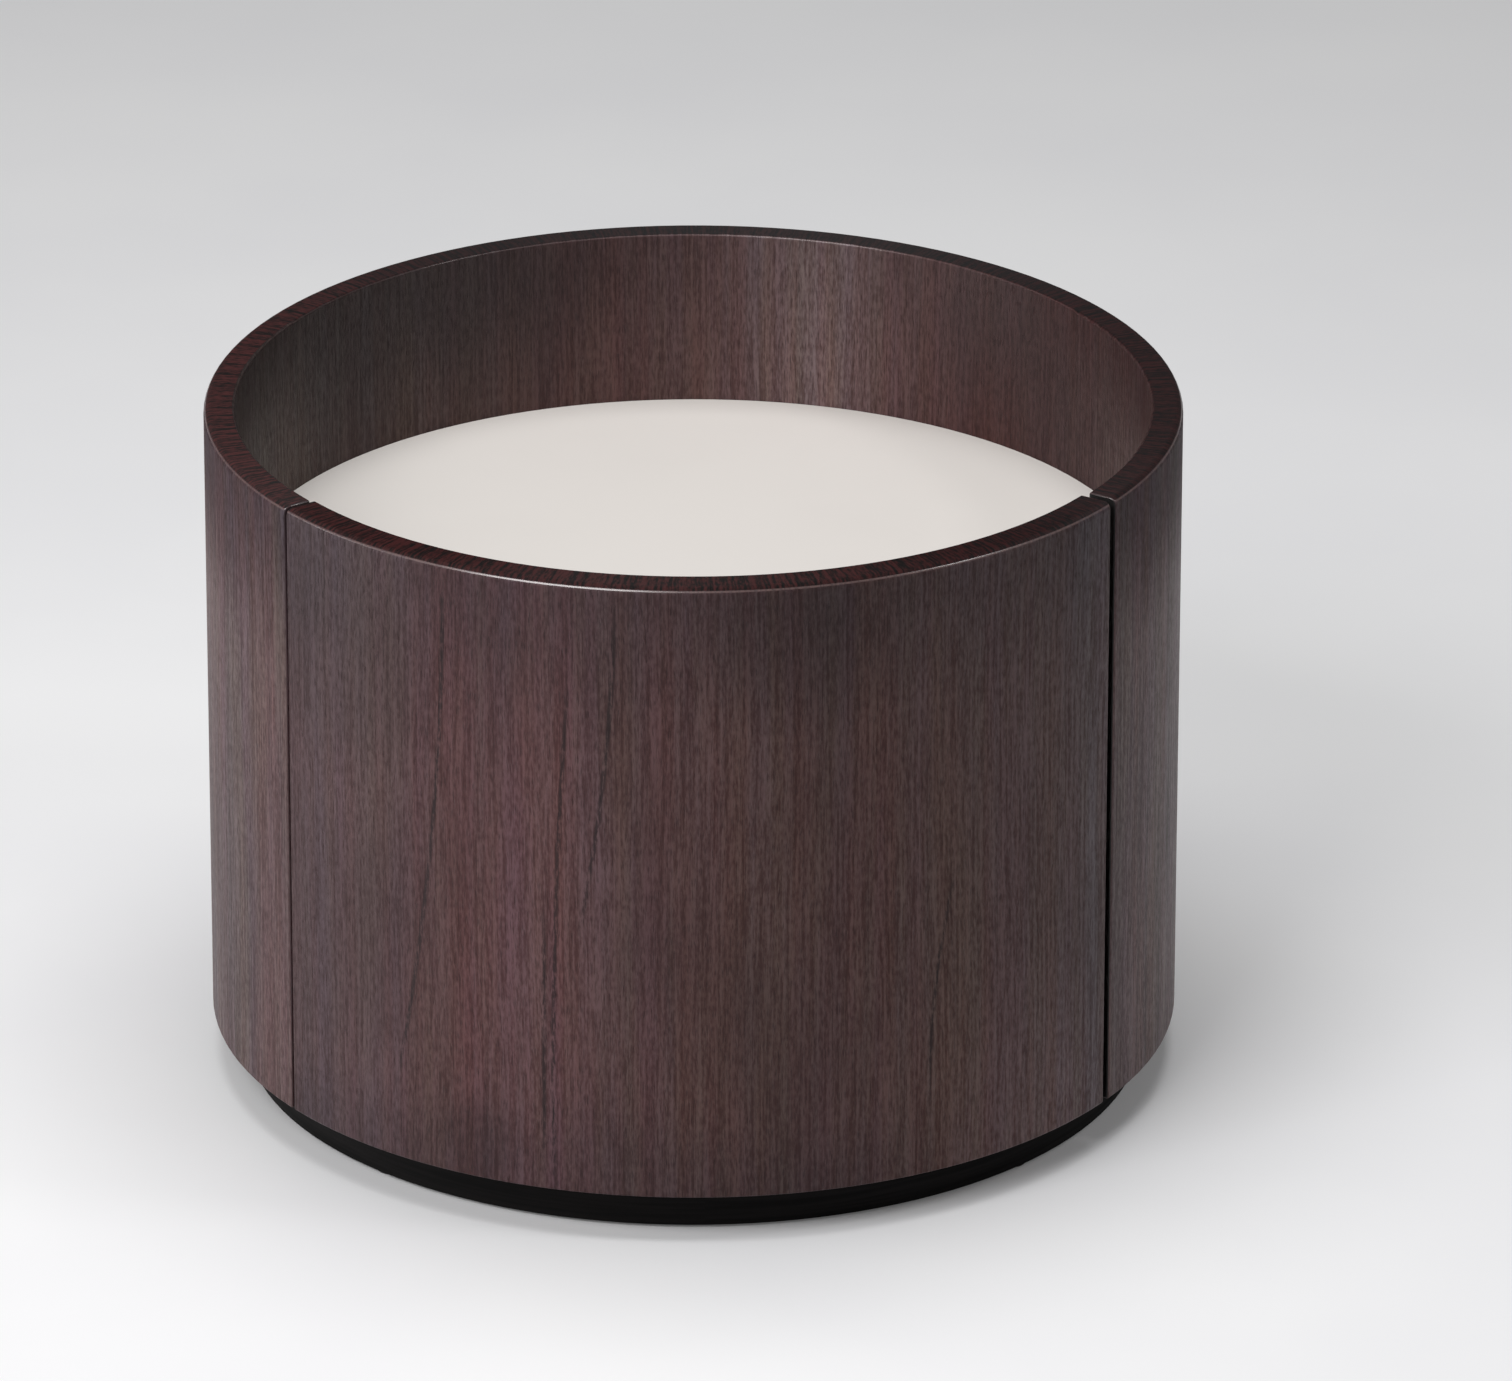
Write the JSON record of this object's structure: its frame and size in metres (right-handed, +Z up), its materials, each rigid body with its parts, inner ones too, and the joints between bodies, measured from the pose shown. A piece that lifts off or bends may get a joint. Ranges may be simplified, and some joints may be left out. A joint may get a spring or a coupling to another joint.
{
  "type": "round end table",
  "caption": "Low round end table of dark veneered wood: a raised rim round a recessed pale top, and a curved full-height drawer front on ball runners.",
  "frame": {"origin": "on the floor under the middle of the round table", "axes": "+Z up; the drawer opens towards -Y; +X to the right of a person who faces the drawer front"},
  "size_m": [0.56, 0.56, 0.4],
  "materials": {
    "dark_oak_veneer": "espresso-stained oak veneer, satin lacquer, grain upright",
    "pale_lacquer": "off-white matt lacquer on board",
    "dark_board": "black-brown stained board, matt",
    "birch_plywood": "birch plywood, clear matt lacquer",
    "black_nylon": "moulded nylon",
    "clear_rubber": "soft translucent rubber",
    "zinc_screw": "zinc-plated steel",
    "zinc_sheet": "zinc-plated sheet steel",
    "cage_steel": "pressed sheet steel, oiled",
    "ball_steel": "polished bearing steel"
  },
  "bodies": {
    "carcass": {"carcass_shell": "dark_oak_veneer", "top_panel": "pale_lacquer", "bottom_panel": "dark_board", "left_partition": "birch_plywood", "right_partition": "birch_plywood", "rear_panel": "birch_plywood", "front_batten_left": "birch_plywood", "front_batten_right": "birch_plywood", "rear_batten_left": "birch_plywood", "rear_batten_right": "birch_plywood", "top_cleat_left": "birch_plywood", "top_cleat_right": "birch_plywood", "plinth_ring": "dark_board", "floor_glides": "black_nylon", "seam_bumpers": "clear_rubber", "plinth_screws": "zinc_screw", "partition_screws": "zinc_screw", "cleat_top_screws": "zinc_screw", "cleat_side_screws": "zinc_screw", "rear_panel_screws": "zinc_screw", "runner_cabinet_left": "zinc_sheet", "runner_cabinet_right": "zinc_sheet", "runner_cabinet_screws": "zinc_screw"},
    "drawer": {"drawer_front": "dark_oak_veneer", "drawer_side_left": "birch_plywood", "drawer_side_right": "birch_plywood", "drawer_back": "birch_plywood", "drawer_bottom": "birch_plywood", "corner_block_left": "birch_plywood", "corner_block_right": "birch_plywood", "block_front_screws": "zinc_screw", "block_side_screws": "zinc_screw", "drawer_back_screws": "zinc_screw", "drawer_bottom_screws": "zinc_screw", "runner_drawer_left": "zinc_sheet", "runner_drawer_right": "zinc_sheet", "runner_drawer_screws": "zinc_screw"},
    "middle_left": {"runner_middle_left": "zinc_sheet"},
    "outer_cage_left": {"outer_cage_left": "cage_steel", "outer_balls_left": "ball_steel"},
    "inner_cage_left": {"inner_cage_left": "cage_steel", "inner_balls_left": "ball_steel"},
    "middle_right": {"runner_middle_right": "zinc_sheet"},
    "outer_cage_right": {"outer_cage_right": "cage_steel", "outer_balls_right": "ball_steel"},
    "inner_cage_right": {"inner_cage_right": "cage_steel", "inner_balls_right": "ball_steel"}
  },
  "joints": [
    {"name": "drawer_slide", "type": "slide", "parent": "carcass", "child": "drawer", "axis": [0, -1, 0], "range_m": [0, 0.3]},
    {"name": "middle_left_slide", "type": "slide", "parent": "carcass", "child": "middle_left", "axis": [0, -1, 0], "range_m": [0, 0.15]},
    {"name": "middle_right_slide", "type": "slide", "parent": "carcass", "child": "middle_right", "axis": [0, -1, 0], "range_m": [0, 0.15]},
    {"name": "outer_cage_left_slide", "type": "slide", "parent": "carcass", "child": "outer_cage_left", "axis": [0, -1, 0], "range_m": [0, 0.075]},
    {"name": "outer_cage_right_slide", "type": "slide", "parent": "carcass", "child": "outer_cage_right", "axis": [0, -1, 0], "range_m": [0, 0.075]},
    {"name": "inner_cage_left_slide", "type": "slide", "parent": "carcass", "child": "inner_cage_left", "axis": [0, -1, 0], "range_m": [0, 0.225]},
    {"name": "inner_cage_right_slide", "type": "slide", "parent": "carcass", "child": "inner_cage_right", "axis": [0, -1, 0], "range_m": [0, 0.225]}
  ],
  "couplings": [
    {"joint": "middle_left_slide", "follows": "drawer_slide", "ratio": 0.5},
    {"joint": "middle_right_slide", "follows": "drawer_slide", "ratio": 0.5},
    {"joint": "outer_cage_left_slide", "follows": "drawer_slide", "ratio": 0.25},
    {"joint": "outer_cage_right_slide", "follows": "drawer_slide", "ratio": 0.25},
    {"joint": "inner_cage_left_slide", "follows": "drawer_slide", "ratio": 0.75},
    {"joint": "inner_cage_right_slide", "follows": "drawer_slide", "ratio": 0.75}
  ]
}
